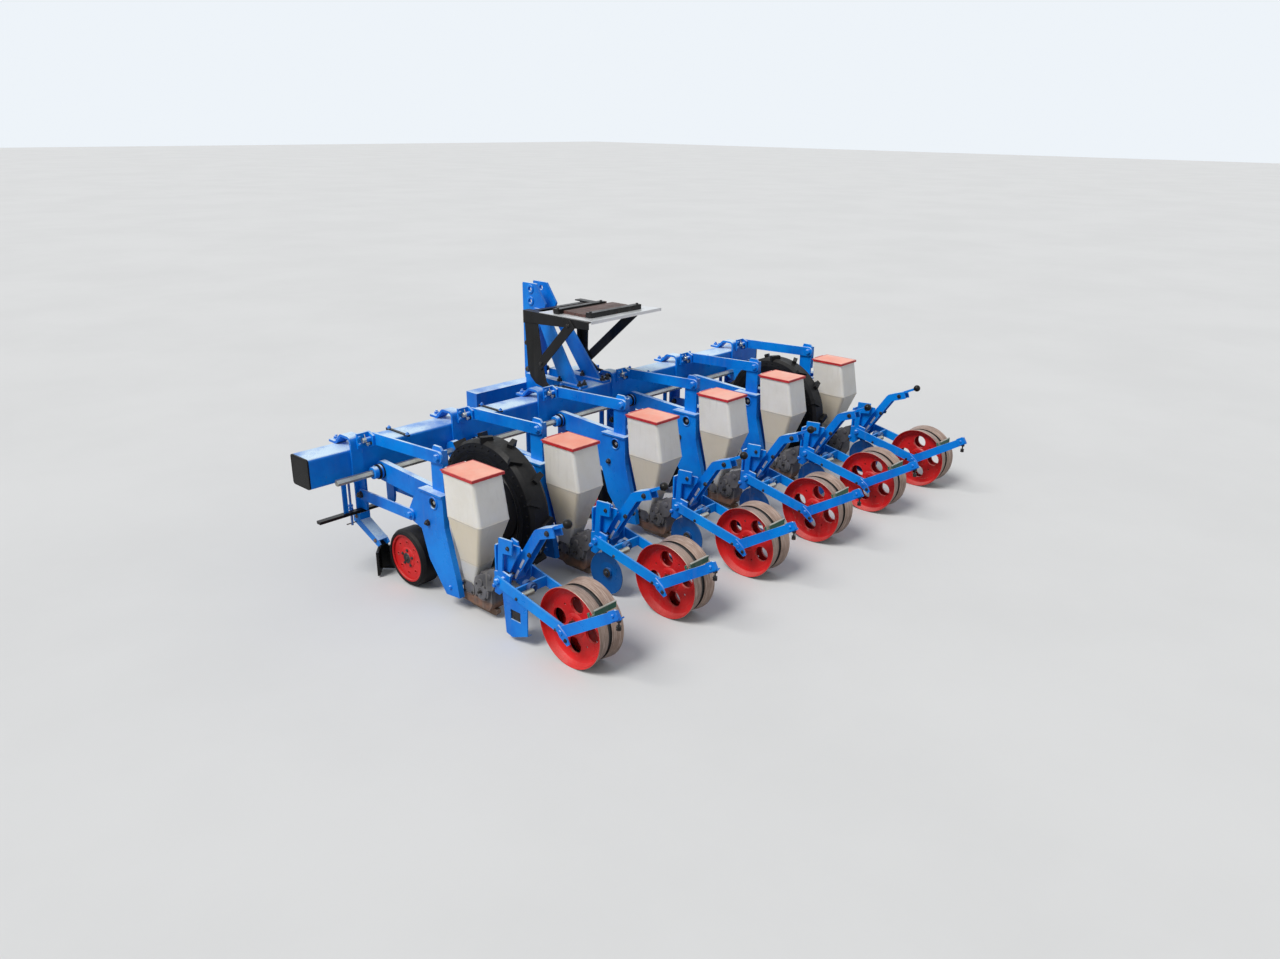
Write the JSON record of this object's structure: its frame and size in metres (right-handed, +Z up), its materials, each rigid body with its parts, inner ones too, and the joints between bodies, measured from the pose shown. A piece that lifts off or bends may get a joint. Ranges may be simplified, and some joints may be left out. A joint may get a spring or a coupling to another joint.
{
  "type": "precision planter",
  "caption": "Mounted mechanical precision planter with a square main bar, seed hoppers, gauge wheels, twin press wheels and ground-driven tyres.",
  "frame": {"origin": "on the ground under the middle of the whole machine's bounding box", "axes": "+X to the right along the main bar, +Y forward to the tractor, +Z up"},
  "size_m": [2.9416, 1.9238, 1.01],
  "materials": {
    "blue_paint": "satin",
    "red_paint": "satin",
    "black_paint": "satin",
    "green_paint": "satin",
    "black_plastic": "matte",
    "cream_plastic": "satin",
    "red_plastic": "satin",
    "tyre_rubber": "matte",
    "plated_steel": "satin",
    "worn_steel": "satin",
    "cast_housing": "matte",
    "aluminium_sheet": "satin"
  },
  "bodies": {
    "machine": {"main_bar": "blue_paint", "bar_end_caps": "black_plastic", "headstock": "blue_paint", "hitch_pins": "plated_steel", "platform_frame": "black_paint", "platform_deck": "aluminium_sheet", "deck_bars": "black_paint", "drive_shaft": "plated_steel", "row_mounts": "blue_paint", "upper_arms": "blue_paint", "chain_cases": "blue_paint", "lower_arms": "blue_paint", "row_frames": "blue_paint", "seed_meters": "cast_housing", "rear_brackets": "blue_paint", "openers": "worn_steel", "clod_clearers": "black_paint", "clearer_arms": "blue_paint", "press_forks": "blue_paint", "scraper_arms": "blue_paint", "scraper_blades": "green_paint", "depth_levers": "blue_paint", "lever_knobs": "black_plastic", "drive_arms": "blue_paint", "hoppers": "cream_plastic", "mount_straps": "black_paint", "covering_plate": "blue_paint"},
    "drive_wheel_left": {"drive_tyre_left": "tyre_rubber", "drive_disc_left": "blue_paint"},
    "drive_wheel_right": {"drive_tyre_right": "tyre_rubber", "drive_disc_right": "blue_paint"},
    "gauge_wheel_1": {"gauge_disc_1": "red_paint", "gauge_tyre_1": "tyre_rubber"},
    "press_roll_1": {"press_wheel_1": "red_paint"},
    "lid_1": {"hopper_lid_1": "red_plastic"},
    "gauge_wheel_2": {"gauge_disc_2": "red_paint", "gauge_tyre_2": "tyre_rubber"},
    "press_roll_2": {"press_wheel_2": "red_paint"},
    "cover_2": {"covering_disc_2": "blue_paint"},
    "lid_2": {"hopper_lid_2": "red_plastic"},
    "gauge_wheel_3": {"gauge_disc_3": "red_paint", "gauge_tyre_3": "tyre_rubber"},
    "press_roll_3": {"press_wheel_3": "red_paint"},
    "cover_3": {"covering_disc_3": "blue_paint"},
    "lid_3": {"hopper_lid_3": "red_plastic"},
    "gauge_wheel_4": {"gauge_disc_4": "red_paint", "gauge_tyre_4": "tyre_rubber"},
    "press_roll_4": {"press_wheel_4": "red_paint"},
    "cover_4": {"covering_disc_4": "blue_paint"},
    "lid_4": {"hopper_lid_4": "red_plastic"},
    "gauge_wheel_5": {"gauge_disc_5": "red_paint", "gauge_tyre_5": "tyre_rubber"},
    "press_roll_5": {"press_wheel_5": "red_paint"},
    "cover_5": {"covering_disc_5": "blue_paint"},
    "lid_5": {"hopper_lid_5": "red_plastic"},
    "gauge_wheel_6": {"gauge_disc_6": "red_paint", "gauge_tyre_6": "tyre_rubber"},
    "press_roll_6": {"press_wheel_6": "red_paint"},
    "cover_6": {"covering_disc_6": "blue_paint"},
    "lid_6": {"hopper_lid_6": "red_plastic"}
  },
  "joints": [
    {"name": "drive_wheel_left_turn", "type": "hinge", "parent": "machine", "child": "drive_wheel_left", "pos_m": [-0.8855, 0.07691, 0.303], "axis": [1, 0, 0], "continuous": true},
    {"name": "drive_wheel_right_turn", "type": "hinge", "parent": "machine", "child": "drive_wheel_right", "pos_m": [1.1045, 0.07691, 0.303], "axis": [1, 0, 0], "continuous": true},
    {"name": "gauge_wheel_1_turn", "type": "hinge", "parent": "machine", "child": "gauge_wheel_1", "pos_m": [-1.1405, 0.24891, 0.12], "axis": [1, 0, 0], "continuous": true},
    {"name": "press_wheel_1_turn", "type": "hinge", "parent": "machine", "child": "press_roll_1", "pos_m": [-1.1405, -0.68509, 0.15], "axis": [1, 0, 0], "continuous": true},
    {"name": "hopper_lid_1_open", "type": "hinge", "parent": "machine", "child": "lid_1", "pos_m": [-1.1405, -0.01959, 0.566], "axis": [-1, 0, 0], "range_deg": [0, 90]},
    {"name": "gauge_wheel_2_turn", "type": "hinge", "parent": "machine", "child": "gauge_wheel_2", "pos_m": [-0.6405, 0.24891, 0.12], "axis": [1, 0, 0], "continuous": true},
    {"name": "press_wheel_2_turn", "type": "hinge", "parent": "machine", "child": "press_roll_2", "pos_m": [-0.6405, -0.68509, 0.15], "axis": [1, 0, 0], "continuous": true},
    {"name": "covering_disc_2_turn", "type": "hinge", "parent": "machine", "child": "cover_2", "pos_m": [-0.7125, -0.39009, 0.092], "axis": [1, 0, 0], "continuous": true},
    {"name": "hopper_lid_2_open", "type": "hinge", "parent": "machine", "child": "lid_2", "pos_m": [-0.6405, -0.01959, 0.566], "axis": [-1, 0, 0], "range_deg": [0, 90]},
    {"name": "gauge_wheel_3_turn", "type": "hinge", "parent": "machine", "child": "gauge_wheel_3", "pos_m": [-0.1405, 0.24891, 0.12], "axis": [1, 0, 0], "continuous": true},
    {"name": "press_wheel_3_turn", "type": "hinge", "parent": "machine", "child": "press_roll_3", "pos_m": [-0.1405, -0.68509, 0.15], "axis": [1, 0, 0], "continuous": true},
    {"name": "covering_disc_3_turn", "type": "hinge", "parent": "machine", "child": "cover_3", "pos_m": [-0.2125, -0.39009, 0.092], "axis": [1, 0, 0], "continuous": true},
    {"name": "hopper_lid_3_open", "type": "hinge", "parent": "machine", "child": "lid_3", "pos_m": [-0.1405, -0.01959, 0.566], "axis": [-1, 0, 0], "range_deg": [0, 90]},
    {"name": "gauge_wheel_4_turn", "type": "hinge", "parent": "machine", "child": "gauge_wheel_4", "pos_m": [0.3595, 0.24891, 0.12], "axis": [1, 0, 0], "continuous": true},
    {"name": "press_wheel_4_turn", "type": "hinge", "parent": "machine", "child": "press_roll_4", "pos_m": [0.3595, -0.68509, 0.15], "axis": [1, 0, 0], "continuous": true},
    {"name": "covering_disc_4_turn", "type": "hinge", "parent": "machine", "child": "cover_4", "pos_m": [0.2875, -0.39009, 0.092], "axis": [1, 0, 0], "continuous": true},
    {"name": "hopper_lid_4_open", "type": "hinge", "parent": "machine", "child": "lid_4", "pos_m": [0.3595, -0.01959, 0.566], "axis": [-1, 0, 0], "range_deg": [0, 90]},
    {"name": "gauge_wheel_5_turn", "type": "hinge", "parent": "machine", "child": "gauge_wheel_5", "pos_m": [0.8595, 0.24891, 0.12], "axis": [1, 0, 0], "continuous": true},
    {"name": "press_wheel_5_turn", "type": "hinge", "parent": "machine", "child": "press_roll_5", "pos_m": [0.8595, -0.68509, 0.15], "axis": [1, 0, 0], "continuous": true},
    {"name": "covering_disc_5_turn", "type": "hinge", "parent": "machine", "child": "cover_5", "pos_m": [0.7875, -0.39009, 0.092], "axis": [1, 0, 0], "continuous": true},
    {"name": "hopper_lid_5_open", "type": "hinge", "parent": "machine", "child": "lid_5", "pos_m": [0.8595, -0.01959, 0.566], "axis": [-1, 0, 0], "range_deg": [0, 90]},
    {"name": "gauge_wheel_6_turn", "type": "hinge", "parent": "machine", "child": "gauge_wheel_6", "pos_m": [1.3595, 0.24891, 0.12], "axis": [1, 0, 0], "continuous": true},
    {"name": "press_wheel_6_turn", "type": "hinge", "parent": "machine", "child": "press_roll_6", "pos_m": [1.3595, -0.68509, 0.15], "axis": [1, 0, 0], "continuous": true},
    {"name": "covering_disc_6_turn", "type": "hinge", "parent": "machine", "child": "cover_6", "pos_m": [1.2875, -0.39009, 0.092], "axis": [1, 0, 0], "continuous": true},
    {"name": "hopper_lid_6_open", "type": "hinge", "parent": "machine", "child": "lid_6", "pos_m": [1.3595, -0.01959, 0.566], "axis": [-1, 0, 0], "range_deg": [0, 90]}
  ]
}
